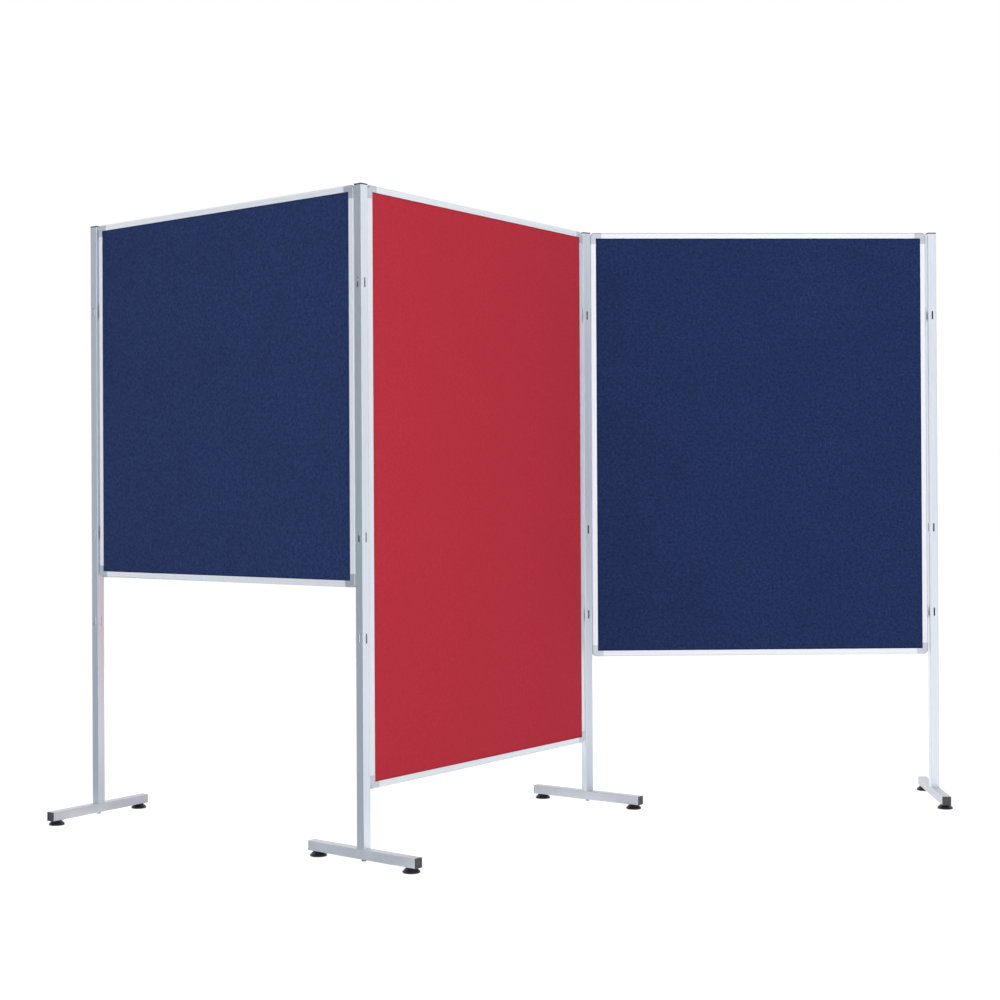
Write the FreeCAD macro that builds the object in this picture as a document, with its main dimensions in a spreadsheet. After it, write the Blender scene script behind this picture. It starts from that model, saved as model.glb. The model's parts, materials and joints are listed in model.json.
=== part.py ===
"""Free-standing pin-board partition: three framed felt panels hung between four slotted posts on T-feet.

Millimetres, +Z up. The right panel runs along +X, and the row's floor centre is the origin.
"""
import FreeCAD, Part
import math
import os
import Sketcher
from FreeCAD import Placement, Rotation, Vector

# Driving dimensions: name, value in millimetres or degrees, and what it is

SIZES = [
    ("post_width", 30, "side of the square post"),
    ("post_wall", 2, "wall of the post"),
    ("post_corner_radius", 2, "outer corner of the post"),
    ("post_length", 1969, "length of the post's tube"),
    ("slot_width", 5, "width of a hook slot"),
    ("slot_length", 30, "height of a hook slot"),
    ("upper_hook_drop", 294, "upper slot centre below the top of the post cap"),
    ("lower_hook_margin", 150, "lower slot centre above the lower edge of a panel"),
    ("cap_flange", 4, "height of the post cap above its tube"),
    ("cap_edge_radius", 1.2, "rounding of the caps' visible rim"),
    ("cap_plug_depth", 16, "depth that a post cap reaches into its tube"),
    ("cap_plug_wall", 2, "wall of the caps' hollow plugs"),
    ("plug_clearance", 0.1, "play of a plug in its tube, each side"),
    ("post_plug_length", 35, "length of the threaded block in the post's lower end"),
    ("foot_width", 30, "side of the square foot bar"),
    ("foot_wall", 2, "wall of the foot bar"),
    ("foot_corner_radius", 2, "outer corner of the foot bar"),
    ("foot_length", 430, "length of the foot bar's tube"),
    ("end_cap_flange", 2.5, "thickness of a foot end cap outside its tube"),
    ("end_cap_rim", 5.5, "width of the rim round the end cap's recess"),
    ("end_cap_recess", 1.2, "depth of the end cap's recess"),
    ("end_cap_plug_depth", 14, "depth that an end cap reaches into the bar"),
    ("glide_diameter", 52, "base of a levelling glide"),
    ("glide_height", 15, "height of a glide's base"),
    ("glide_rim_height", 4.5, "upright rim of a glide"),
    ("glide_neck_diameter", 30, "top of a glide's cone"),
    ("glide_edge_radius", 1, "rounding of a glide's rim"),
    ("glide_inset", 29, "glide centre from the end of the foot"),
    ("glide_gap", 0.3, "play between a glide screwed right in and the bar"),
    ("stud_diameter", 8, "threaded stud of a glide"),
    ("stud_length", 25, "length of the stud above the glide's base"),
    ("stud_clearance", 0.1, "radial play of the studs and the bolt in their threads"),
    ("hole_clearance", 0.2, "radial play of the studs and the bolt in the bar"),
    ("nut_width", 18, "side of the square glide nut"),
    ("nut_height", 8, "height of the glide nut"),
    ("bolt_diameter", 8, "foot bolt"),
    ("bolt_reach", 22, "length of the foot bolt inside the post plug"),
    ("bolt_head_width", 13, "foot bolt's head across its flats"),
    ("bolt_head_height", 5.5, "height of the foot bolt's head"),
    ("washer_diameter", 18, "washer face of the foot bolt"),
    ("washer_thickness", 1.6, "thickness of the washer face"),
    ("panel_width", 1200, "width of every panel over its frame"),
    ("left_panel_height", 1200, "height of the left panel over its frame"),
    ("middle_panel_height", 1800, "height of the middle panel over its frame"),
    ("right_panel_height", 1500, "height of the right panel over its frame"),
    ("rail_width", 20, "visible face of a frame rail"),
    ("rail_wall", 1.6, "wall of a frame rail"),
    ("rail_edge_radius", 5, "outer long edges of a rail"),
    ("groove_depth", 9.4, "depth of the groove that holds the board"),
    ("corner_leg", 40, "leg of a corner piece, measured from the panel's corner"),
    ("corner_proud", 0.5, "height of a corner piece above the rail's face"),
    ("corner_outer_radius", 15, "rounded corner of the panel"),
    ("corner_edge_radius", 5, "rounding of the corner piece's outer rim"),
    ("spigot_length", 25, "reach of a corner piece's spigot in the rail"),
    ("spigot_clearance", 0.2, "play of a spigot in the rail's chamber, each side"),
    ("board_thickness", 12, "soft-board core"),
    ("felt_thickness", 2, "felt on each face of the board"),
    ("board_clearance", 0.4, "play of the felted board in the rails"),
    ("hook_reach", 7, "rail's outer face from the middle of the post's wall"),
    ("hook_plate", 2, "thickness of the hook's steel"),
    ("hook_flange_width", 10, "width of the flange on the rail"),
    ("hook_flange_height", 50, "height of the flange on the rail"),
    ("hook_neck_play", 0.2, "play of the hook's round neck in the slot, each side"),
    ("hook_neck_height", 17.7, "height of the hook's neck"),
    ("hook_seat_drop", 0.6, "depth that the neck sinks into the slot's round end"),
    ("hook_nose_gap", 0.9, "play of the nose behind the post's wall, for turning"),
    ("hook_nose_width", 3.1, "width of the hanging nose"),
    ("hook_nose_drop", 9, "reach of the nose below the slot"),
    ("hook_nose_radius", 1.2, "rounding of the nose's tip"),
    ("corner_angle", 86, "angle between the left and the middle panel"),
    ("bend_angle", 52, "turn from the middle panel to the right panel"),
    ("left_stand_turn", 5, "turn of the left post and its foot on the left panel's hooks"),
    ("right_foot_turn", 84, "right foot's direction from the right panel"),
]

doc = FreeCAD.newDocument("pin_board_row")
sheet = doc.addObject("Spreadsheet::Sheet", "Sizes")
for row, (alias, value, meaning) in enumerate(SIZES, start=1):
    sheet.set("A%d" % row, meaning)
    sheet.set("B%d" % row, str(value))
    sheet.setAlias("B%d" % row, alias)
doc.recompute()


class Size:
    """A size of the sheet, or one worked out from several: a number and the expression that gives it."""

    def __init__(self, value, text):
        self.value = value
        self.text = text

    def __add__(self, other):
        return Size(self.value + number(other), "(%s + %s)" % (self.text, expression(other)))

    def __sub__(self, other):
        return Size(self.value - number(other), "(%s - %s)" % (self.text, expression(other)))

    def __mul__(self, other):
        return Size(self.value * number(other), "(%s * %s)" % (self.text, expression(other)))

    def __truediv__(self, other):
        return Size(self.value / number(other), "(%s / %s)" % (self.text, expression(other)))

    def __neg__(self):
        return Size(-self.value, "-(%s)" % self.text)


def number(size):
    return size.value if isinstance(size, Size) else size


def expression(size):
    return size.text if isinstance(size, Size) else repr(size)


def size(alias):
    return Size(float(sheet.get(alias)), "Sizes." + alias)


def bind(feature, **properties):
    """Ties properties to sizes; x, y and z stand for the place of a primitive."""
    for name, value in properties.items():
        path = "Placement.Base." + name if name in ("x", "y", "z") else name
        feature.setExpression(path, expression(value))


# Sketches and features

def new_body(name):
    return doc.addObject("PartDesign::Body", name)


def origin_part(body, role):
    return next(item for item in body.Origin.OriginFeatures if item.Role == role)


TOLERANCE = 1e-6
FULL_TURN = 360
START, END, CENTRE = 1, 2, 3
ORIGIN = (-1, START)
AXES = (-2, -1)


def hold_point(sketch, item, spot, axis, value):
    """Holds a point of an item at a size from the sketch's origin, along X (axis 0) or Y (axis 1)."""
    if number(value) == 0:
        sketch.addConstraint(Sketcher.Constraint("PointOnObject", item, spot, AXES[axis]))
        return
    kind = ("DistanceX", "DistanceY")[axis]
    if number(value) > 0:
        held = sketch.addConstraint(Sketcher.Constraint(kind, *ORIGIN, item, spot, number(value)))
    else:
        value = -value
        held = sketch.addConstraint(Sketcher.Constraint(kind, item, spot, *ORIGIN, number(value)))
    sketch.setExpression("Constraints[%d]" % held, expression(value))


def new_sketch(body, name, plane):
    sketch = body.newObject("Sketcher::SketchObject", name)
    sketch.AttachmentSupport = [(origin_part(body, plane), "")]
    sketch.MapMode = "FlatFace"
    return sketch


def outline(body, name, plane, *loops):
    """A sketch of closed loops of straight runs, with every corner held by two sizes."""
    sketch = new_sketch(body, name, plane)
    for loop in loops:
        first = sketch.GeometryCount
        points = [Vector(number(x), number(y), 0) for x, y in loop]
        for start, end in zip(points, points[1:] + points[:1]):
            sketch.addGeometry(Part.LineSegment(start, end))
        for step, (x, y) in enumerate(loop):
            following = first + (step + 1) % len(loop)
            sketch.addConstraint(Sketcher.Constraint("Coincident", first + step, END, following, START))
            hold_point(sketch, first + step, START, 0, x)
            hold_point(sketch, first + step, START, 1, y)
    return sketch


def slot_outline(body, name, plane, middles):
    """A sketch of upright round-ended hook slots, one above the other, given by their middle heights."""
    sketch = new_sketch(body, name, plane)
    radius = size("slot_width") / 2
    straight = (size("slot_length") - size("slot_width")) / 2
    for middle in middles:
        upper = sketch.GeometryCount
        left, lower, right = upper + 1, upper + 2, upper + 3
        high, low = middle + straight, middle - straight
        for centre, side in ((high, 1), (low, -1)):
            circle = Part.Circle(Vector(0, centre.value, 0), Vector(0, 0, 1), radius.value)
            turn = 0 if side == 1 else math.pi
            sketch.addGeometry(Part.ArcOfCircle(circle, turn, turn + math.pi))
            near = Vector(-side * radius.value, centre.value, 0)
            far = Vector(-side * radius.value, (low if side == 1 else high).value, 0)
            sketch.addGeometry(Part.LineSegment(near, far))
        loop = (upper, left, lower, right)
        for item, following in zip(loop, loop[1:] + loop[:1]):
            sketch.addConstraint(Sketcher.Constraint("Tangent", item, END, following, START))
        sketch.addConstraint(Sketcher.Constraint("Equal", upper, lower))
        for arc, centre in ((upper, high), (lower, low)):
            hold_point(sketch, arc, CENTRE, 0, 0)
            hold_point(sketch, arc, CENTRE, 1, centre)
        held = sketch.addConstraint(Sketcher.Constraint("Radius", upper, radius.value))
        sketch.setExpression("Constraints[%d]" % held, radius.text)
    return sketch


def square(half):
    return [(-half, -half), (half, -half), (half, half), (-half, half)]


def pad(body, name, sketch, length, side="One side", downwards=False):
    feature = body.newObject("PartDesign::Pad", name)
    feature.Profile = sketch
    feature.SideType = side
    feature.Reversed = downwards
    bind(feature, Length=length)
    return feature


def cut_through(body, name, sketch, depth=None):
    """Cuts a sketch both ways from its plane, right through or to a total depth."""
    doc.recompute()
    before = body.Shape.Volume
    feature = body.newObject("PartDesign::Pocket", name)
    feature.Profile = sketch
    feature.SideType = "Symmetric"
    if depth is None:
        feature.Type = "ThroughAll"
    else:
        bind(feature, Length=depth)
    doc.recompute()
    if body.Shape.Volume >= before:
        raise RuntimeError(name + " cuts nothing")


def primitive(body, kind, name, **sizes):
    feature = body.newObject("PartDesign::" + kind, name)
    bind(feature, **sizes)
    return feature


def along(edge, axis):
    """True for a straight edge along X, Y or Z (0, 1 or 2)."""
    ends = [vertex.Point for vertex in edge.Vertexes]
    if len(ends) != 2:
        return False
    run = ends[1] - ends[0]
    return all(abs(run[other]) < TOLERANCE for other in range(3) if other != axis)


def lies_at(edge, axis, *places):
    """True for an edge whose ends all have one of these places on an axis."""
    return all(any(abs(vertex.Point[axis] - place) < TOLERANCE for place in places)
               for vertex in edge.Vertexes)


def round_edges(body, name, radius, wanted):
    doc.recompute()
    tip = body.Tip
    edges = ["Edge%d" % count for count, edge in enumerate(tip.Shape.Edges, start=1) if wanted(edge)]
    feature = body.newObject("PartDesign::Fillet", name)
    feature.Base = (tip, edges)
    bind(feature, Radius=radius)


# Sizes that several pieces share

post_half = size("post_width") / 2
foot_half = size("foot_width") / 2
post_bore_half = post_half - size("post_wall")
foot_bore_half = foot_half - size("foot_wall")
pivot_from_post = post_half - size("post_wall") / 2

groove_width = size("board_thickness") + size("felt_thickness") * 2 + size("board_clearance") * 2
rail_half = groove_width / 2 + size("rail_wall")
groove_floor = size("rail_width") - size("groove_depth")
chamber_end = groove_floor - size("rail_wall")
board_edge = groove_floor + size("board_clearance")
chamber_radius = size("rail_edge_radius") - size("rail_wall")

foot_bottom = size("glide_height") + size("glide_gap")
foot_top = foot_bottom + size("foot_width")
cap_top = foot_top + size("post_length") + size("cap_flange")
glide_offset = size("foot_length") / 2 + size("end_cap_flange") - size("glide_inset")

# Slot rows below the top of the cap: one for every panel, one for each shorter panel's lower hooks
upper_drop = size("upper_hook_drop")
short_drop = size("left_panel_height") - size("lower_hook_margin")
long_drop = size("right_panel_height") - size("lower_hook_margin")


# Post stand

def make_post():
    body = new_body("post")
    section = outline(body, "post_section", "XY_Plane", square(post_half), square(post_bore_half))
    pad(body, "post_tube", section, size("post_length"))
    outside = (-post_half.value, post_half.value)
    round_edges(body, "post_corners", size("post_corner_radius"),
                lambda edge: along(edge, 2) and lies_at(edge, 0, *outside) and lies_at(edge, 1, *outside))
    top = size("post_length") + size("cap_flange")
    middles = [top - drop for drop in (upper_drop, short_drop, long_drop)]
    for plane in ("XZ_Plane", "YZ_Plane"):
        cut_through(body, "slots_" + plane, slot_outline(body, "slot_rows_" + plane, plane, middles))
    return body


def make_tube_cap(name, half, bore_half, corner_radius, flange, plug_depth, recessed):
    """A square moulded cap on the end of a tube, flange upwards, with a hollow plug below."""
    body = new_body(name)
    pad(body, name + "_flange", outline(body, name + "_face", "XY_Plane", square(half)), flange)
    outside = (-half.value, half.value)
    round_edges(body, name + "_corners", corner_radius, lambda edge: along(edge, 2))
    round_edges(body, name + "_rim", size("cap_edge_radius"),
                lambda edge: lies_at(edge, 2, flange.value)
                and (lies_at(edge, 0, *outside) or lies_at(edge, 1, *outside)))
    plug_half = bore_half - size("plug_clearance")
    plug = outline(body, name + "_plug_section", "XY_Plane",
                   square(plug_half), square(plug_half - size("cap_plug_wall")))
    pad(body, name + "_plug", plug, plug_depth, downwards=True)
    if recessed:
        recess_half = half - size("end_cap_rim")
        primitive(body, "SubtractiveBox", name + "_recess", Length=recess_half * 2, Width=recess_half * 2,
                  Height=size("end_cap_recess"), x=-recess_half, y=-recess_half,
                  z=flange - size("end_cap_recess"))
    return body


def make_post_plug():
    body = new_body("post_plug")
    half = post_bore_half - size("plug_clearance")
    pad(body, "plug_block", outline(body, "plug_section", "XY_Plane", square(half)), size("post_plug_length"))
    primitive(body, "SubtractiveCylinder", "plug_thread", Height=size("post_plug_length"),
              Radius=size("bolt_diameter") / 2 + size("stud_clearance"))
    return body


def make_foot_bar():
    """The bar lies along X, with its middle at the origin."""
    body = new_body("foot_bar")
    section = outline(body, "bar_section", "YZ_Plane", square(foot_half), square(foot_bore_half))
    pad(body, "bar_tube", section, size("foot_length"), side="Symmetric")
    outside = (-foot_half.value, foot_half.value)
    round_edges(body, "bar_corners", size("foot_corner_radius"),
                lambda edge: along(edge, 0) and lies_at(edge, 1, *outside) and lies_at(edge, 2, *outside))
    primitive(body, "SubtractiveCylinder", "bolt_hole", Height=size("foot_width"), z=-foot_half,
              Radius=size("bolt_diameter") / 2 + size("hole_clearance"))
    for name, place in (("front_stud_hole", -glide_offset), ("rear_stud_hole", glide_offset)):
        primitive(body, "SubtractiveCylinder", name, Height=size("foot_wall"), x=place, z=-foot_half,
                  Radius=size("stud_diameter") / 2 + size("hole_clearance"))
    return body


def make_foot_bolt():
    """Hex bolt with a washer face, standing on the underside of the bar at the origin."""
    head = doc.addObject("Part::Prism", "bolt_head")
    bind(head, Circumradius=size("bolt_head_width") / math.sqrt(3), Height=size("bolt_head_height"),
         z=-(size("washer_thickness") + size("bolt_head_height")))
    washer = doc.addObject("Part::Cylinder", "bolt_washer")
    bind(washer, Radius=size("washer_diameter") / 2, Height=size("washer_thickness"),
         z=-size("washer_thickness"))
    shank = doc.addObject("Part::Cylinder", "bolt_shank")
    bind(shank, Radius=size("bolt_diameter") / 2, Height=size("foot_width") + size("bolt_reach"))
    bolt = doc.addObject("Part::MultiFuse", "foot_bolt")
    bolt.Shapes = [head, washer, shank]
    return bolt


def make_glide_nut():
    """Square nut with its underside on the bar's lower wall, at the origin."""
    body = new_body("glide_nut")
    section = outline(body, "nut_section", "XY_Plane", square(size("nut_width") / 2))
    pad(body, "nut_block", section, size("nut_height"))
    primitive(body, "SubtractiveCylinder", "nut_thread", Height=size("nut_height"),
              Radius=size("stud_diameter") / 2 + size("stud_clearance"))
    return body


def make_glide():
    """Levelling glide standing on the floor at the origin: a moulded cone with its threaded stud."""
    body = new_body("glide")
    stud_radius = size("stud_diameter") / 2
    rim = size("glide_diameter") / 2
    profile = outline(body, "glide_profile", "XZ_Plane", [
        (0, 0),
        (rim, 0),
        (rim, size("glide_rim_height")),
        (size("glide_neck_diameter") / 2, size("glide_height")),
        (stud_radius, size("glide_height")),
        (stud_radius, size("glide_height") + size("stud_length")),
        (0, size("glide_height") + size("stud_length")),
    ])
    turned = body.newObject("PartDesign::Revolution", "glide_form")
    turned.Profile = profile
    turned.ReferenceAxis = (origin_part(body, "Z_Axis"), [""])
    turned.Angle = FULL_TURN
    round_edges(body, "glide_rim", size("glide_edge_radius"),
                lambda edge: lies_at(edge, 2, 0, size("glide_rim_height").value)
                and lies_at(edge, 0, rim.value) and len(edge.Vertexes) == 1)
    return body


# Panel

def make_rail(name, panel_length):
    """A frame rail standing between two corner pieces: its outer edge faces -X and its groove +X."""
    body = new_body(name)
    wall = size("rail_wall")
    groove_half = groove_width / 2
    profile = outline(body, name + "_profile", "XY_Plane", [
        (0, -rail_half),
        (size("rail_width"), -rail_half),
        (size("rail_width"), -groove_half),
        (groove_floor, -groove_half),
        (groove_floor, groove_half),
        (size("rail_width"), groove_half),
        (size("rail_width"), rail_half),
        (0, rail_half),
    ], [
        (wall, -groove_half),
        (chamber_end, -groove_half),
        (chamber_end, groove_half),
        (wall, groove_half),
    ])
    pad(body, name + "_length", profile, panel_length - size("corner_leg") * 2)
    round_edges(body, name + "_chamber_edges", chamber_radius,
                lambda edge: along(edge, 2) and lies_at(edge, 0, wall.value)
                and lies_at(edge, 1, -groove_half.value, groove_half.value))
    round_edges(body, name + "_edges", size("rail_edge_radius"),
                lambda edge: along(edge, 2) and lies_at(edge, 0, 0)
                and lies_at(edge, 1, -rail_half.value, rail_half.value))
    return body


def make_corner_piece():
    """The moulded L at a panel's lower left corner, with a spigot for each of its two rails."""
    body = new_body("corner_piece")
    leg = size("corner_leg")
    width = size("rail_width")
    corner_half = rail_half + size("corner_proud")
    form = outline(body, "corner_form", "XZ_Plane",
                   [(0, 0), (leg, 0), (leg, width), (width, width), (width, leg), (0, leg)])
    pad(body, "corner_block", form, corner_half * 2, side="Symmetric")
    groove = outline(body, "corner_groove_form", "XZ_Plane",
                     [(groove_floor, groove_floor), (leg, groove_floor), (leg, width), (width, width),
                      (width, leg), (groove_floor, leg)])
    cut_through(body, "corner_groove", groove, groove_width)
    round_edges(body, "corner_round", size("corner_outer_radius"),
                lambda edge: along(edge, 1) and lies_at(edge, 0, 0) and lies_at(edge, 2, 0))
    faces = (-corner_half.value, corner_half.value)
    round_edges(body, "corner_rim", size("corner_edge_radius"),
                lambda edge: lies_at(edge, 1, *faces) and on_corner_rim(edge, leg.value))
    play = size("spigot_clearance")
    spigot_low = size("rail_wall") + play
    spigot_depth = chamber_end - play - spigot_low
    spigot_half = groove_width / 2 - play
    root = size("rail_wall")
    reach = size("spigot_length") + root
    primitive(body, "AdditiveBox", "spigot_across", Length=reach, Width=spigot_half * 2, Height=spigot_depth,
              x=leg - root, y=-spigot_half, z=spigot_low)
    primitive(body, "AdditiveBox", "spigot_up", Length=spigot_depth, Width=spigot_half * 2, Height=reach,
              x=spigot_low, y=-spigot_half, z=leg - root)
    sides = (-spigot_half.value, spigot_half.value)
    round_edges(body, "spigot_edges", chamber_radius - play,
                lambda edge: lies_at(edge, 1, *sides)
                and (along(edge, 0) and lies_at(edge, 2, spigot_low.value)
                     or along(edge, 2) and lies_at(edge, 0, spigot_low.value)))
    return body


def on_corner_rim(edge, leg):
    """True for the edges round the outside of a corner piece: its two straight runs and the arc between."""
    ends = [vertex.Point for vertex in edge.Vertexes]
    radius = size("corner_outer_radius").value
    return all(min(point.x, point.z) < TOLERANCE and max(point.x, point.z) > radius - TOLERANCE
               for point in ends)


def make_hook():
    """A plate hook with its turning axis on Z, the panel on its +X side and the slot's middle at height 0."""
    body = new_body("hook")
    flange_near = size("hook_reach") - size("hook_plate")
    nose_near = -(size("post_wall") / 2 + size("hook_nose_gap"))
    nose_far = nose_near - size("hook_nose_width")
    slot_low = -(size("slot_length") / 2)
    neck_low = slot_low + size("slot_width") / 2 - size("hook_seat_drop")
    neck_high = neck_low + size("hook_neck_height")
    nose_low = slot_low - size("hook_nose_drop")
    blank = outline(body, "hook_outline", "XZ_Plane", [
        (flange_near, neck_low),
        (nose_near, neck_low),
        (nose_near, nose_low),
        (nose_far, nose_low),
        (nose_far, neck_high),
        (flange_near, neck_high),
    ])
    pad(body, "hook_plate", blank, size("hook_plate"), side="Symmetric")
    round_edges(body, "nose_tip", size("hook_nose_radius"),
                lambda edge: along(edge, 1) and lies_at(edge, 2, nose_low.value))
    primitive(body, "AdditiveCylinder", "hook_neck", Radius=size("slot_width") / 2 - size("hook_neck_play"),
              Height=size("hook_neck_height"), z=neck_low)
    primitive(body, "AdditiveBox", "hook_flange", Length=size("hook_plate"), Width=size("hook_flange_width"),
              Height=size("hook_flange_height"), x=flange_near, y=-(size("hook_flange_width") / 2),
              z=-(size("hook_flange_height") / 2))
    return body


def make_slab(name, height, thickness, low_y):
    """A sheet that fills a panel's grooves: the core, or the felt on one of its faces."""
    slab = doc.addObject("Part::Box", name)
    bind(slab, Length=size("panel_width") - board_edge * 2, Width=thickness, Height=height - board_edge * 2,
         x=board_edge, y=low_y, z=board_edge)
    return slab


# Plan of the row: where the posts stand and how they are turned

def heading(angle):
    return Vector(math.cos(math.radians(angle)), math.sin(math.radians(angle)), 0)


def turned(angle, point, height=0.0):
    return Placement(Vector(point.x, point.y, height), Rotation(Vector(0, 0, 1), angle))


RIGHT_ANGLE = 90
middle_angle = size("bend_angle").value
left_angle = middle_angle + size("corner_angle").value
left_stand_angle = left_angle + size("left_stand_turn").value
bisector = middle_angle / 2
pivot = pivot_from_post.value
reach = size("hook_reach").value
span = size("panel_width").value + 2 * reach

corner_point = Vector(0, 0, 0)
left_pivot = heading(left_angle) * pivot
left_far_pivot = left_pivot + heading(left_angle) * span
left_point = left_far_pivot + heading(left_stand_angle) * pivot
middle_pivot = heading(left_angle - RIGHT_ANGLE) * pivot
middle_far_pivot = middle_pivot + heading(middle_angle) * span
middle_point = middle_far_pivot + heading(bisector) * pivot
right_pivot = middle_point + heading(bisector) * pivot
right_far_pivot = right_pivot + heading(0) * span
right_point = right_far_pivot + heading(0) * pivot

# Post stands: name, place, turn of the post, and heading of the foot's rear end
STANDS = [
    ("left", left_point, left_stand_angle, left_stand_angle - RIGHT_ANGLE),
    ("corner", corner_point, left_angle, left_angle),
    ("middle", middle_point, bisector, middle_angle + RIGHT_ANGLE),
    ("right", right_point, 0, size("right_foot_turn").value),
]

# Panels: name, hook line at the left end, heading, height, and the drop of the lower hooks
PANELS = [
    ("left", left_far_pivot, left_angle - 2 * RIGHT_ANGLE, size("left_panel_height"), short_drop),
    ("middle", middle_pivot, middle_angle, size("middle_panel_height"), long_drop),
    ("right", right_pivot, 0, size("right_panel_height"), long_drop),
]

nodes = []


def copy_of(source, placement, name="copy"):
    link = doc.addObject("App::Link", name)
    link.LinkedObject = source
    link.Placement = placement
    return link


def add_node(label, source, placement):
    link = copy_of(source, placement, label)
    link.Label = label
    nodes.append(link)


def add_group(label, members, placement):
    group = doc.addObject("Part::Compound", label)
    group.Label = label
    group.Links = members
    group.Placement = placement
    nodes.append(group)


def about_y(angle, x, z):
    return Placement(Vector(x, 0, z), Rotation(Vector(0, 1, 0), angle))


def add_stands():
    post = make_post()
    post_cap = make_tube_cap("post_cap", post_half, post_bore_half, size("post_corner_radius"),
                             size("cap_flange"), size("cap_plug_depth"), recessed=False)
    end_cap = make_tube_cap("end_cap", foot_half, foot_bore_half, size("foot_corner_radius"),
                            size("end_cap_flange"), size("end_cap_plug_depth"), recessed=True)
    plug = make_post_plug()
    bar = make_foot_bar()
    bolt = make_foot_bolt()
    nut = make_glide_nut()
    glide = make_glide()
    bar_end = size("foot_length").value / 2
    offset = glide_offset.value
    tube_top = foot_top.value + size("post_length").value
    bar_middle = foot_bottom.value + foot_half.value
    nut_level = foot_bottom.value + size("foot_wall").value
    for name, point, post_turn, foot_turn in STANDS:
        add_node(name + "_post", post, turned(post_turn, point, foot_top.value))
        add_node(name + "_post_cap", post_cap, turned(post_turn, point, tube_top))
        add_node(name + "_post_plug", plug, turned(post_turn, point, foot_top.value))
        add_node(name + "_foot_bar", bar, turned(foot_turn, point, bar_middle))
        end_caps = [copy_of(end_cap, about_y(side * RIGHT_ANGLE, side * bar_end, 0)) for side in (-1, 1)]
        add_group(name + "_foot_end_caps", end_caps, turned(foot_turn, point, bar_middle))
        add_node(name + "_foot_bolt", bolt, turned(foot_turn, point, foot_bottom.value))
        nuts = [copy_of(nut, about_y(0, side * offset, 0)) for side in (-1, 1)]
        add_group(name + "_glide_nuts", nuts, turned(foot_turn, point, nut_level))
        add_node(name + "_front_glide", glide, turned(foot_turn, point - heading(foot_turn) * offset))
        add_node(name + "_rear_glide", glide, turned(foot_turn, point + heading(foot_turn) * offset))


def add_panels():
    width = size("panel_width").value
    leg = size("corner_leg").value
    cross_rail = make_rail("cross_rail", size("panel_width"))
    corner = make_corner_piece()
    hook = make_hook()
    core_low = -(size("board_thickness") / 2)
    for name, start_pivot, angle, panel_height, lower_drop in PANELS:
        height = panel_height.value
        label = name + "_panel_"
        seat = turned(angle, start_pivot + heading(angle) * reach, cap_top.value - height)
        side_rail = make_rail(name + "_side_rail", panel_height)
        add_node(label + "top_rail", cross_rail, seat * about_y(RIGHT_ANGLE, leg, height))
        add_node(label + "bottom_rail", cross_rail, seat * about_y(-RIGHT_ANGLE, width - leg, 0))
        add_node(label + "left_rail", side_rail, seat * about_y(0, 0, leg))
        half_turn = Placement(Vector(width, 0, leg), Rotation(Vector(0, 0, 1), 2 * RIGHT_ANGLE))
        add_node(label + "right_rail", side_rail, seat * half_turn)
        corners = [
            copy_of(corner, about_y(0, 0, 0)),
            copy_of(corner, about_y(-RIGHT_ANGLE, width, 0)),
            copy_of(corner, about_y(2 * RIGHT_ANGLE, width, height)),
            copy_of(corner, about_y(RIGHT_ANGLE, 0, height)),
        ]
        add_group(label + "corners", corners, seat)
        core = make_slab(name + "_core", panel_height, size("board_thickness"), core_low)
        add_group(label + "board", [core], seat)
        felt_low = core_low - size("felt_thickness")
        felts = [
            make_slab(name + "_felt_front", panel_height, size("felt_thickness"), felt_low),
            make_slab(name + "_felt_back", panel_height, size("felt_thickness"), -core_low),
        ]
        add_group(label + "felt", felts, seat)
        hooks = []
        for drop in (upper_drop.value, lower_drop.value):
            level = height - drop
            hooks.append(copy_of(hook, about_y(0, -reach, level)))
            far_side = Placement(Vector(width + reach, 0, level), Rotation(Vector(0, 0, 1), 2 * RIGHT_ANGLE))
            hooks.append(copy_of(hook, far_side))
        add_group(label + "hooks", hooks, seat)


def centre_row():
    """Moves the whole row so that the middle of its floor outline is the origin."""
    box = FreeCAD.BoundBox()
    for item in nodes:
        box.add(Part.getShape(item).optimalBoundingBox(False, False))
    shift = Vector(-box.Center.x, -box.Center.y, 0)
    for item in nodes:
        item.Placement = Placement(shift, Rotation()) * item.Placement
    return shift


def check_and_write():
    doc.recompute()
    for item in doc.Objects:
        if "Invalid" in item.State or "Error" in item.State:
            raise RuntimeError("%s failed: %s" % (item.Label, item.State))
    os.makedirs("parts", exist_ok=True)
    for item in nodes:
        shape = Part.getShape(item)
        if shape.isNull() or not shape.isValid():
            raise RuntimeError(item.Label + " has no valid shape")
    for item in nodes:
        Part.getShape(item).exportStep("parts/%s.step" % item.Label)


add_stands()
add_panels()
doc.recompute()
shift = centre_row()
check_and_write()
for name, point in (("left_panel", left_pivot), ("left_post", left_far_pivot),
                    ("middle_panel", middle_pivot), ("middle_post", middle_far_pivot),
                    ("right_panel", right_pivot), ("right_post", right_far_pivot)):
    print("hook line of %s: %.3f %.3f" % (name, point.x + shift.x, point.y + shift.y))
print("top of the row: %.1f" % cap_top.value)
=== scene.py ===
"""Looks of a free-standing pin-board partition: felt panels in aluminium frames between slotted posts."""
import json
import math

import bpy
from mathutils import Matrix, Vector


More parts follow.
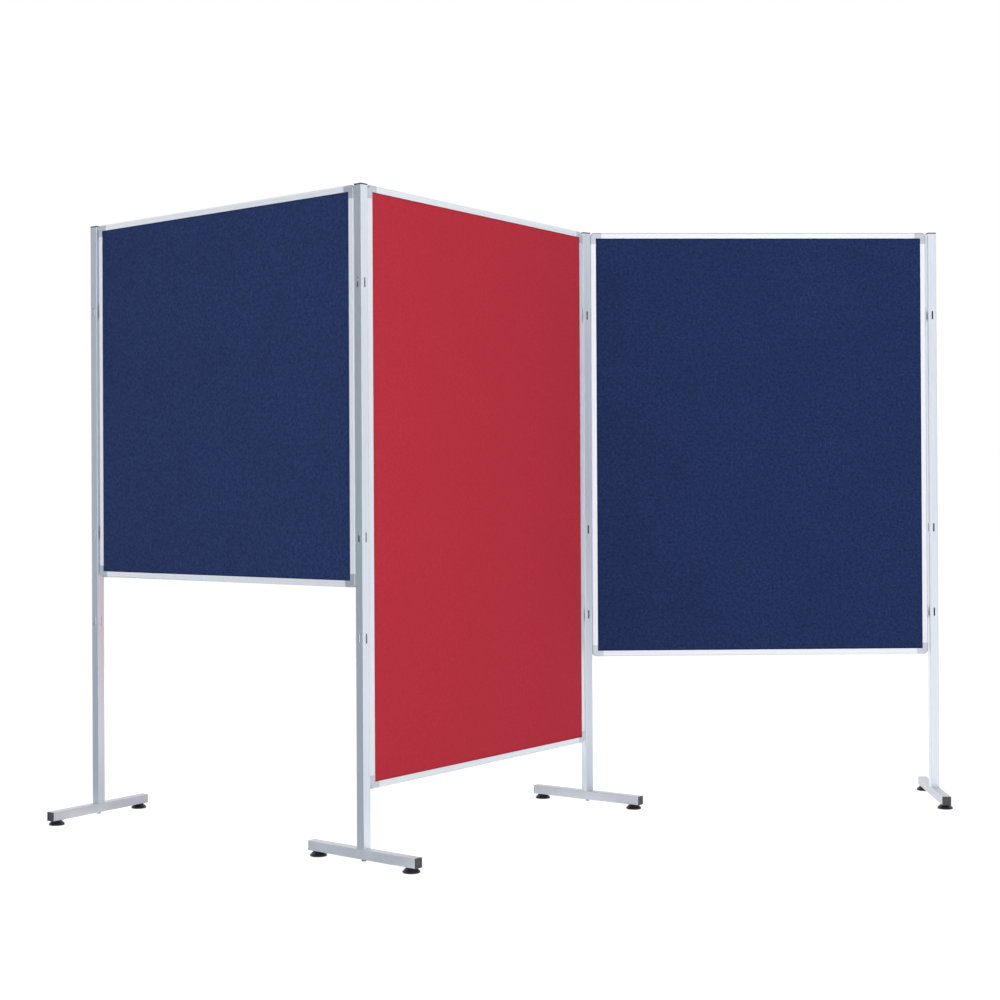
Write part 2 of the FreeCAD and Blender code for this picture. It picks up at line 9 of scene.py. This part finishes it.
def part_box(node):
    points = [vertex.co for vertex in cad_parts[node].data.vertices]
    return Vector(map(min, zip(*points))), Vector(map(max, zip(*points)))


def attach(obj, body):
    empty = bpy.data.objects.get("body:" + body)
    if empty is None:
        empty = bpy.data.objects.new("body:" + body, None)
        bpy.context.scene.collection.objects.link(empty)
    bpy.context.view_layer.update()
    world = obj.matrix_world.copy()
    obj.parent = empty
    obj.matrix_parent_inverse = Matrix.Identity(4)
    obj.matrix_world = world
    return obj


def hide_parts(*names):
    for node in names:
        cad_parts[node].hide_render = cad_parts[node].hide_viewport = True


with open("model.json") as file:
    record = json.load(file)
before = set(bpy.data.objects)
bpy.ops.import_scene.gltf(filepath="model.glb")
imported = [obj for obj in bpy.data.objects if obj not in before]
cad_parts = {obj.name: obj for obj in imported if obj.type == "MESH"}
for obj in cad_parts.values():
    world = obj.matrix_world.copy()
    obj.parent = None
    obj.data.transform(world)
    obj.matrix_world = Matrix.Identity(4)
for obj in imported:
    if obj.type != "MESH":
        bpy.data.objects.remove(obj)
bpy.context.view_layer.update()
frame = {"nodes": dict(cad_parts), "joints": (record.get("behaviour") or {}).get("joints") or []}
nodes = frame["nodes"]
hook_lines = {joint["name"]: Vector(joint["pos_m"]) for joint in frame["joints"] if "pos_m" in joint}

# Real sizes of the row, in metres

HOOK_REACH = 0.007
HOOK_PLATE = 0.002
BOARD_HALF = 0.006
FELT_THICKNESS = 0.002
RIVET_HEAD = 0.0056
RIVET_RISE = 0.0012
RIVET_SPACING = 0.034
HOOK_FLANGE_HEIGHT = 0.050
BOARD_EDGE = 0.011

# Panels: the joints whose axes are the hook lines at their left and right ends, and their felt
PANELS = {
    "left": ("left_post_swing", "left_panel_swing", "blue"),
    "middle": ("middle_panel_swing", "middle_post_swing", "red"),
    "right": ("right_panel_swing", "right_post_swing", "blue"),
}
STANDS = ("left", "corner", "middle", "right")


def panel_frame(name):
    """A panel's hook lines on the floor, and the direction from its left to its right end."""
    left_joint, right_joint, _ = PANELS[name]
    start, end = hook_lines[left_joint], hook_lines[right_joint]
    return start, end, (end - start).normalized()


def heading_of(name):
    along = panel_frame(name)[2]
    return math.atan2(along.y, along.x)


# Shader nodes written as expressions

class Wire:
    """A node's output: arithmetic on it adds Math nodes to its shader."""

    def __init__(self, shader, socket):
        self.shader = shader
        self.socket = socket

    def math(self, operation, other):
        return self.shader.node("ShaderNodeMath", {"operation": operation}, {0: self, 1: other})

    def __add__(self, other):
        return self.math("ADD", other)

    def __mul__(self, other):
        return self.math("MULTIPLY", other)

    __radd__ = __add__
    __rmul__ = __mul__


class Shader:
    """The node tree of a material or of the world."""

    def __init__(self, owner):
        owner.use_nodes = True
        self.tree = owner.node_tree
        self.tree.nodes.clear()

    def node(self, kind, settings=None, sockets=None, output=0):
        """A new node with its settings and inputs; the wire of one output comes back, if it has any."""
        item = self.tree.nodes.new(kind)
        for name, value in (settings or {}).items():
            if name == "stops":
                set_stops(item.color_ramp, value)
            else:
                setattr(item, name, value)
        for key, value in (sockets or {}).items():
            if isinstance(value, Wire):
                self.tree.links.new(value.socket, item.inputs[key])
            else:
                item.inputs[key].default_value = value
        return Wire(self, item.outputs[output]) if item.outputs else None

    def seen_rays(self):
        """1 on rays of the eye, of mirrors and of glass, and 0 on rays that only carry light."""
        camera, glossy, clear = (self.node("ShaderNodeLightPath", output=name)
                                 for name in ("Is Camera Ray", "Is Glossy Ray", "Is Transmission Ray"))
        return camera + glossy + clear

    def show(self, shading, output="ShaderNodeOutputMaterial"):
        """Ends the tree with the shading that is seen."""
        self.node(output, None, {"Surface": shading})


class Finish(Shader):
    """A material, in the coordinates of the object that wears it."""

    def __init__(self, name):
        self.material = bpy.data.materials.new(name)
        super().__init__(self.material)
        self.place = self.node("ShaderNodeTexCoord", output="Object")

    def noise(self, scale, detail=2.0, roughness=0.5, place=None):
        """Noise with about as many grains to the metre as its scale says."""
        return self.node("ShaderNodeTexNoise", None, {
            "Vector": place or self.place, "Scale": scale, "Detail": detail, "Roughness": roughness})

    def ramp(self, value, *stops):
        """A value or colour that changes from stop to stop as the value goes from 0 to 1."""
        return self.node("ShaderNodeValToRGB", {"stops": stops}, {"Fac": value})

    def mix(self, share, first, second):
        return self.node("ShaderNodeMix", {"data_type": "RGBA"}, {0: share, 6: first, 7: second}, output=2)

    def stretched(self, scale, turn=0.0):
        """Object coordinates turned about Z and stretched, for marks that run one way."""
        level = self.node("ShaderNodeVectorRotate", {"rotation_type": "Z_AXIS"},
                          {"Vector": self.place, "Angle": -turn})
        return self.node("ShaderNodeVectorMath", {"operation": "MULTIPLY"}, {0: level, 1: scale})

    def bump(self, height, depth):
        """A surface that rises and falls with a value, by up to the depth in metres."""
        return self.node("ShaderNodeBump", None, {"Height": height, "Distance": depth, "Strength": 0.5})

    def surface(self, sockets):
        self.show(self.node("ShaderNodeBsdfPrincipled", None, sockets))
        return self.material


def set_stops(color_ramp, stops):
    """Puts a ramp's stops at their places; a plain number is a grey."""
    while len(color_ramp.elements) < len(stops):
        color_ramp.elements.new(1.0)
    for element, (place, colour) in zip(color_ramp.elements, stops):
        element.position = place
        element.color = colour if isinstance(colour, tuple) else (colour, colour, colour, 1.0)


def srgb(red, green, blue):
    """A colour written as it looks on screen, 0 to 255, as shader values."""
    def linear(value):
        share = value / 255
        return share / 12.92 if share <= 0.04045 else ((share + 0.055) / 1.055) ** 2.4
    return (linear(red), linear(green), linear(blue), 1.0)


# Finishes

# Stretch of the lines that an extrusion's die leaves: many across it, few along it
DIE_LINES = 420.0
LINE_ENDS = 1.2
UPRIGHT = (DIE_LINES, DIE_LINES, LINE_ENDS)
LEVEL = (LINE_ENDS, DIE_LINES, DIE_LINES)


def needle_felt(name, shade, body, fleck, melange):
    """Pressed fibres with a loose nap: three tones in small tufts, flecked as strongly as melange says."""
    felt = Finish(name)
    clouds = felt.noise(5.0, 3.0)
    tufts = felt.noise(120.0, 4.0, 0.62)
    fibres = felt.noise(700.0, 3.0, 0.65)
    flecks = felt.noise(280.0, 2.0, 0.5)
    tone = felt.mix(felt.ramp(tufts * 0.75 + fibres * 0.25, (0.38, 0.0), (0.62, 1.0)), shade, body)
    tone = felt.mix(felt.ramp(flecks, (0.58, 0.0), (0.72, melange)), tone, fleck)
    tone = felt.mix(felt.ramp(clouds, (0.38, 0.0), (0.66, 0.18)), tone, shade)
    nap = felt.bump(tufts * 0.6 + fibres, 0.0007)
    return felt.surface({"Base Color": tone, "Roughness": 0.95, "Normal": nap, "Sheen Weight": 0.03,
                         "Sheen Roughness": 0.6, "Specular IOR Level": 0.04})


def anodised(name, colour, metallic, stretch, turn=0.0):
    """Satin anodised extrusion: faint die lines along its length over an even matt etch."""
    metal = Finish(name)
    lines = metal.noise(1.0, 3.0, 0.6, metal.stretched(stretch, turn))
    etch = metal.noise(1500.0, 2.0)
    handling = metal.noise(5.0, 4.0, 0.6)
    tone = metal.mix(metal.ramp(lines, (0.3, 0.0), (0.7, 1.0)), darker(colour, 0.90), colour)
    tone = metal.mix(metal.ramp(handling, (0.45, 0.0), (0.75, 0.25)), tone, darker(colour, 0.93))
    roughness = 0.30 + lines * 0.08 + handling * 0.08
    surface = metal.bump(lines + etch * 0.4, 0.00004)
    return metal.surface({"Base Color": tone, "Roughness": roughness, "Metallic": metallic, "Normal": surface,
                          "Specular IOR Level": 0.5})


def darker(colour, share):
    red, green, blue, _ = colour
    return (red * share, green * share, blue * share, 1.0)


def powder_coat(name, colour):
    """Silver powder coat: a fine orange peel, a little uneven in gloss."""
    coat = Finish(name)
    peel = coat.noise(700.0, 2.0)
    patches = coat.noise(14.0, 3.0)
    tone = coat.mix(coat.ramp(patches, (0.35, 0.0), (0.7, 1.0)), darker(colour, 0.92), colour)
    return coat.surface({"Base Color": tone, "Roughness": 0.34 + patches * 0.14, "Metallic": 0.55,
                         "Normal": coat.bump(peel, 0.00008)})


def moulded(name, colour, dusty, gloss=0.36, metallic=0.0):
    """Moulded plastic: a fine spark grain, with a little dust that has settled in it."""
    plastic = Finish(name)
    grain = plastic.noise(1400.0, 3.0, 0.6)
    patches = plastic.noise(40.0, 4.0, 0.6)
    dust = plastic.ramp(patches, (0.45, 0.0), (0.85, 0.6))
    tone = plastic.mix(dust, colour, dusty)
    return plastic.surface({"Base Color": tone, "Roughness": gloss + patches * 0.18, "Metallic": metallic,
                            "Normal": plastic.bump(grain, 0.00007), "Specular IOR Level": 0.4})


def shaded_mill_finish(name):
    """Bare metal inside a drawn tube: dull, with dark drawing marks, and made near-black as painted shade
    inside the tube and its slots.
    """
    metal = Finish(name)
    marks = metal.noise(1.0, 3.0, 0.6, metal.stretched(UPRIGHT))
    # Both tones are partly dull bare metal and partly painted shade, far darker than the metal itself
    tone = metal.mix(metal.ramp(marks, (0.3, 0.0), (0.7, 1.0)), srgb(48, 50, 53), srgb(74, 77, 81))
    return metal.surface({"Base Color": tone, "Roughness": 0.6 + marks * 0.2, "Metallic": 0.5})


def zinc(name):
    """Zinc-plated steel with a small spangle."""
    steel = Finish(name)
    spangle = steel.node("ShaderNodeTexVoronoi", None, {"Vector": steel.place, "Scale": 260.0})
    tone = steel.mix(spangle, srgb(165, 168, 172), srgb(205, 207, 210))
    return steel.surface({"Base Color": tone, "Roughness": 0.3 + steel.noise(300.0) * 0.2, "Metallic": 0.9})


def soft_board(name):
    """Pressed wood fibres."""
    board = Finish(name)
    fibres = board.noise(300.0, 4.0, 0.7)
    tone = board.mix(fibres, srgb(150, 122, 88), srgb(192, 166, 128))
    return board.surface({"Base Color": tone, "Roughness": 0.9, "Normal": board.bump(fibres, 0.0004)})


POST_GREY = srgb(234, 241, 250)
POST_METALLIC = 0.88
RAIL_SILVER = srgb(236, 240, 246)
RAIL_METALLIC = 0.4

finishes = {
    "post": anodised("post_aluminium", POST_GREY, POST_METALLIC, UPRIGHT),
    "post_inside_painted_shade": shaded_mill_finish("post_inside_painted_shade"),
    "side_rail": anodised("side_rail_aluminium", RAIL_SILVER, RAIL_METALLIC, UPRIGHT),
    "foot_bar": powder_coat("foot_silver", srgb(213, 217, 224)),
    "corner": moulded("corner_grey", srgb(208, 213, 221), srgb(196, 200, 207), metallic=0.8),
    "cap": moulded("cap_black", srgb(20, 20, 21), srgb(38, 37, 38), 0.5),
    "end_cap": moulded("end_cap_black", srgb(66, 67, 74), srgb(92, 92, 98)),
    "glide": moulded("glide_black", srgb(20, 20, 22), srgb(40, 40, 44), 0.2),
    "steel": zinc("zinc_steel"),
    "board": soft_board("fibre_board"),
    "blue": needle_felt("felt_blue", srgb(25, 37, 70), srgb(38, 54, 97), srgb(56, 73, 118), 0.42),
    "red": needle_felt("felt_red", srgb(178, 44, 58), srgb(187, 50, 64), srgb(196, 62, 75), 0.3),
}


def dress(node, finish):
    materials = nodes[node].data.materials
    materials.clear()
    materials.append(finish)


# How far a face's plane lies in front of the tube's axis, at least, for the face to count as inside
INWARD = 0.001


def line_tube(node, inside):
    """Gives an upright tube's faces that look at its own axis the finish of its inside, which is darkened
    with painted shade.
    """
    mesh = nodes[node].data
    low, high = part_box(node)
    axis = (low + high) / 2
    mesh.materials.append(inside)
    for face in mesh.polygons:
        outward = face.center - axis
        if face.normal.x * outward.x + face.normal.y * outward.y < -INWARD:
            face.material_index = 1


def dress_stands():
    for stand in STANDS:
        for piece, finish in (("post", "post"), ("post_cap", "cap"), ("post_plug", "steel"),
                              ("foot_bar", "foot_bar"), ("foot_end_caps", "end_cap"), ("foot_bolt", "steel"),
                              ("glide_nuts", "steel"), ("front_glide", "glide"), ("rear_glide", "glide")):
            dress(stand + "_" + piece, finishes[finish])
        line_tube(stand + "_post", finishes["post_inside_painted_shade"])


def dress_panels():
    for panel in PANELS:
        level_rail = anodised(panel + "_cross_rail_aluminium", RAIL_SILVER, RAIL_METALLIC, LEVEL,
                              heading_of(panel))
        for piece, finish in (("left_rail", finishes["side_rail"]), ("right_rail", finishes["side_rail"]),
                              ("top_rail", level_rail), ("bottom_rail", level_rail),
                              ("corners", finishes["corner"]), ("board", finishes["board"]),
                              ("hooks", finishes["steel"])):
            dress(panel + "_panel_" + piece, finish)


# Felt sheets

FELT_CELL = 0.02
FELT_WAVE = 0.00018
FELT_PRESSED = 0.9


def felt_wave(along, up):
    """Slight unevenness of felt glued to a soft board: waves of some radians to the metre."""
    slow = math.sin(along * 9.1 + 0.7) * math.sin(up * 7.3 + 1.9)
    quick = math.sin(along * 41.0 + up * 17.0) * math.sin(up * 37.0 - along * 11.0)
    return FELT_WAVE * (0.6 * slow + 0.4 * quick)


def add_felt(panel, side, across):
    """One felt sheet on the face of a panel's board; across is -1 in front and 1 behind."""
    start, end, along = panel_frame(panel)
    normal = Vector((-along.y, along.x, 0)) * across
    low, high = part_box(panel + "_panel_board")
    height = high.z - low.z
    middle = (start + end) / 2
    width = (end - start).length - 2 * (HOOK_REACH + BOARD_EDGE)
    columns, rows = round(width / FELT_CELL), round(height / FELT_CELL)
    points, faces = [], []
    for row in range(rows + 1):
        for column in range(columns + 1):
            offset = width * (column / columns - 0.5)
            up = height * row / rows
            out = BOARD_HALF + FELT_THICKNESS / 2 + felt_wave(offset + across, up)
            spot = middle + along * offset + normal * out
            points.append((spot.x, spot.y, low.z + up))
    for row in range(rows):
        for column in range(columns):
            corner = row * (columns + 1) + column
            face = (corner, corner + 1, corner + columns + 2, corner + columns + 1)
            faces.append(face if across < 0 else face[::-1])
    mesh = bpy.data.meshes.new(panel + "_felt_" + side)
    mesh.from_pydata(points, [], faces)
    mesh.shade_smooth()
    mesh.materials.append(finishes[PANELS[panel][2]])
    felt = bpy.data.objects.new(panel + "_felt_" + side, mesh)
    bpy.context.scene.collection.objects.link(felt)
    thickness = felt.modifiers.new("cloth_thickness", "SOLIDIFY")
    thickness.thickness = FELT_THICKNESS * FELT_PRESSED
    thickness.offset = 0.0
    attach(felt, panel + "_panel")
    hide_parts(panel + "_panel_felt")


# Rivets that hold the hooks to the side rails

HEAD_SEGMENTS = 20
HEAD_RINGS = 10


def rivet_tree(finish):
    """Geometry nodes: a domed rivet head on every point, turned with the panel."""
    tree = bpy.data.node_groups.new("rivet_heads", "GeometryNodeTree")
    sockets = tree.interface
    sockets.new_socket("Geometry", in_out="INPUT", socket_type="NodeSocketGeometry")
    for name in ("Head Radius", "Head Rise", "Turn"):
        sockets.new_socket(name, in_out="INPUT", socket_type="NodeSocketFloat")
    sockets.new_socket("Geometry", in_out="OUTPUT", socket_type="NodeSocketGeometry")
    new, link = tree.nodes.new, tree.links.new
    start, end = new("NodeGroupInput"), new("NodeGroupOutput")
    head = new("GeometryNodeMeshUVSphere")
    head.inputs["Segments"].default_value = HEAD_SEGMENTS
    head.inputs["Rings"].default_value = HEAD_RINGS
    head.inputs["Radius"].default_value = 1.0
    smooth = new("GeometryNodeSetShadeSmooth")
    link(head.outputs["Mesh"], smooth.inputs["Geometry"])
    size = new("ShaderNodeCombineXYZ")
    link(start.outputs["Head Rise"], size.inputs["X"])
    link(start.outputs["Head Radius"], size.inputs["Y"])
    link(start.outputs["Head Radius"], size.inputs["Z"])
    turn = new("ShaderNodeCombineXYZ")
    link(start.outputs["Turn"], turn.inputs["Z"])
    copies = new("GeometryNodeInstanceOnPoints")
    link(start.outputs["Geometry"], copies.inputs["Points"])
    link(smooth.outputs["Geometry"], copies.inputs["Instance"])
    link(turn.outputs["Vector"], copies.inputs["Rotation"])
    link(size.outputs["Vector"], copies.inputs["Scale"])
    real = new("GeometryNodeRealizeInstances")
    link(copies.outputs["Instances"], real.inputs["Geometry"])
    paint = new("GeometryNodeSetMaterial")
    paint.inputs["Material"].default_value = finish
    link(real.outputs["Geometry"], paint.inputs["Geometry"])
    link(paint.outputs["Geometry"], end.inputs["Geometry"])
    return tree


def hook_heights(panel):
    """Middle heights of a panel's upper and lower hooks, from the ends of its hooks' box."""
    low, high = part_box(panel + "_panel_hooks")
    return high.z - HOOK_FLANGE_HEIGHT / 2, low.z + HOOK_FLANGE_HEIGHT / 2


def add_rivets(panel, tree):
    """Two rivet heads on each hook of a panel, as one piece that rides with it."""
    start, end, along = panel_frame(panel)
    face = HOOK_REACH - HOOK_PLATE
    points = []
    for height in hook_heights(panel):
        for spot in (start + along * face, end - along * face):
            for step in (-0.5, 0.5):
                points.append((spot.x, spot.y, height + step * RIVET_SPACING))
    mesh = bpy.data.meshes.new(panel + "_rivet_points")
    mesh.from_pydata(points, [], [])
    rivets = bpy.data.objects.new(panel + "_hook_rivets", mesh)
    bpy.context.scene.collection.objects.link(rivets)
    heads = rivets.modifiers.new("heads", "NODES")
    heads.node_group = tree
    inputs = {item.name: item.identifier for item in tree.interface.items_tree if item.in_out == "INPUT"}
    for name, value in (("Head Radius", RIVET_HEAD / 2), ("Head Rise", RIVET_RISE),
                        ("Turn", heading_of(panel))):
        heads[inputs[name]] = value
    graph = bpy.context.evaluated_depsgraph_get()
    made = bpy.data.meshes.new_from_object(rivets.evaluated_get(graph))
    rivets.modifiers.clear()
    rivets.data = made
    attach(rivets, panel + "_panel")


# Studio: floor, light and camera

WHITE = (1.0, 1.0, 1.0, 1.0)
FLOOR_SIZE = 80.0
FLOOR_HEIGHT = -0.0005
FLOOR_PAPER = (0.82, 0.82, 0.82, 1.0)
FLOOR_GLOW = 1.26
FLOOR_GLOW_SHARE = 0.72
AMBIENT_TONE = (0.93, 0.96, 1.0, 1.0)
AMBIENT = 0.55

# Lamps: place and power in watts; all are as large and look at the same spot
LAMPS = {
    "key": ((2.2, -5.6, 2.4), 165.0),
    "fill": ((-4.2, -5.0, 2.4), 141.0),
    "back": ((-1.2, 5.2, 2.4), 130.0),
}
LAMP_SIZE = 3.0
LAMP_TARGET = (0.0, 0.0, 0.9)

# Grey cards that only reflections see, as painted shade in reflections: darker walls, ceiling and floor than
# the white studio, so that the posts' faces read apart, and near the row the floor's shade under and behind
# it. Middle, turn about Z and tilt in degrees, width and height in metres, and tone
SHADE_CARDS = {
    "left_shade_card": ((-7.0, -2.75, 2.4), 90.0, 90.0, (5.6, 5.0), (0.01, 0.04, 0.06)),
    "left_floor_shade_card": ((-4.54, -1.11, 0.004), 138.0, 0.0, (5.8, 6.0), (0.32, 0.37, 0.41)),
    "right_shade_card": ((4.5, -2.47, 1.3), 52.0, 90.0, (2.9, 2.8), (0.17, 0.20, 0.24)),
    # Floor cards near the row: painted shade of the floor under and behind it, as reflections see it
    "middle_floor_shade_card": ((-0.675, 0.35, 0.004), 0.0, 0.0, (1.35, 1.0), (0.54, 0.57, 0.61)),
    "corner_floor_shade_card": ((-0.74, -0.64, 0.004), 0.0, 0.0, (0.64, 0.74), (0.39, 0.42, 0.46)),
    "right_floor_shade_card": ((0.75, -0.35, 0.004), 0.0, 0.0, (0.9, 1.4), (0.66, 0.69, 0.73)),
    "ceiling_shade_card": ((0.0, -0.5, 6.0), 0.0, 0.0, (9.0, 6.0), (0.20, 0.22, 0.25)),
}

# Camera as fitted to the panels' corners and the glides: place in metres, yaw, pitch and roll in degrees,
# lens and sensor in millimetres, shift in sensor widths
CAMERA_PLACE = (-0.3788, -5.7037, 1.0923)
CAMERA_TURN = (1.932, 0.284, -0.292)
LENS = 62.78
SENSOR_WIDTH = 36.0
LENS_SHIFT = (0.040, -0.0137)


def turned(degrees, axis):
    return Matrix.Rotation(math.radians(degrees), 4, axis)


def add_floor():
    """A wide pale floor that reads as white and keeps a soft shadow of the row."""
    bpy.ops.mesh.primitive_plane_add(size=FLOOR_SIZE, location=(0, 0, FLOOR_HEIGHT))
    floor = bpy.context.object
    floor.name = "studio_floor"
    paper = Finish("studio_paper")
    matt = paper.node("ShaderNodeBsdfDiffuse", None, {"Color": FLOOR_PAPER})
    glow = paper.node("ShaderNodeEmission", None, {"Color": WHITE, "Strength": FLOOR_GLOW})
    pale = paper.node("ShaderNodeMixShader", None, {0: FLOOR_GLOW_SHARE, 1: matt, 2: glow})
    paper.show(paper.node("ShaderNodeMixShader", None, {0: paper.seen_rays(), 1: matt, 2: pale}))
    floor.data.materials.append(paper.material)


def light_world():
    """White to the eye and in reflections, and a soft grey light from all round."""
    world = bpy.data.worlds.new("studio_world")
    bpy.context.scene.world = world
    sky = Shader(world)
    soft = sky.node("ShaderNodeBackground", None, {"Color": AMBIENT_TONE, "Strength": AMBIENT})
    white = sky.node("ShaderNodeBackground", None, {"Color": WHITE, "Strength": 1.0})
    both = sky.node("ShaderNodeMixShader", None, {0: sky.seen_rays(), 1: soft, 2: white})
    sky.show(both, "ShaderNodeOutputWorld")


def add_lamps():
    """Soft lamps that metal doesn't mirror, as if behind a diffuser wall."""
    for name, (place, power) in LAMPS.items():
        lamp = bpy.data.lights.new(name, "AREA")
        lamp.shape = "SQUARE"
        lamp.size = LAMP_SIZE
        lamp.energy = power
        holder = bpy.data.objects.new(name, lamp)
        bpy.context.scene.collection.objects.link(holder)
        holder.visible_glossy = holder.visible_camera = False
        holder.location = place
        holder.rotation_euler = (Vector(LAMP_TARGET) - Vector(place)).to_track_quat("-Z", "Y").to_euler()


def add_shade_cards():
    """The grey cards of painted shade, seen only in reflections, hidden from the eye and from the light that
    falls on the row.
    """
    for name, (middle, turn, tilt, size, tone) in SHADE_CARDS.items():
        bpy.ops.mesh.primitive_plane_add(size=1.0)
        card = bpy.context.object
        card.name = name
        card.matrix_world = (Matrix.Translation(middle) @ turned(turn, "Z") @ turned(tilt, "X")
                             @ Matrix.Diagonal((*size, 1.0, 1.0)))
        paper = Finish(name)
        paper.show(paper.node("ShaderNodeEmission", None, {"Color": (*tone, 1.0), "Strength": 1.0}))
        card.data.materials.append(paper.material)
        card.visible_camera = card.visible_diffuse = card.visible_shadow = False


def add_camera():
    """A camera that looks along +Y when it isn't turned."""
    yaw, pitch, roll = CAMERA_TURN
    lens = bpy.data.cameras.new("camera")
    lens.sensor_width = SENSOR_WIDTH
    lens.lens = LENS
    lens.shift_x, lens.shift_y = LENS_SHIFT
    camera = bpy.data.objects.new("camera", lens)
    bpy.context.scene.collection.objects.link(camera)
    camera.matrix_world = (Matrix.Translation(CAMERA_PLACE) @ turned(-yaw, "Z") @ turned(90 + pitch, "X")
                           @ turned(roll, "Z"))
    bpy.context.scene.camera = camera


dress_stands()
dress_panels()
rivets = rivet_tree(finishes["steel"])
for panel_name in PANELS:
    add_felt(panel_name, "front", -1)
    add_felt(panel_name, "back", 1)
    add_rivets(panel_name, rivets)
add_floor()
add_shade_cards()
light_world()
add_lamps()
add_camera()
bpy.context.scene.view_settings.view_transform = "Standard"
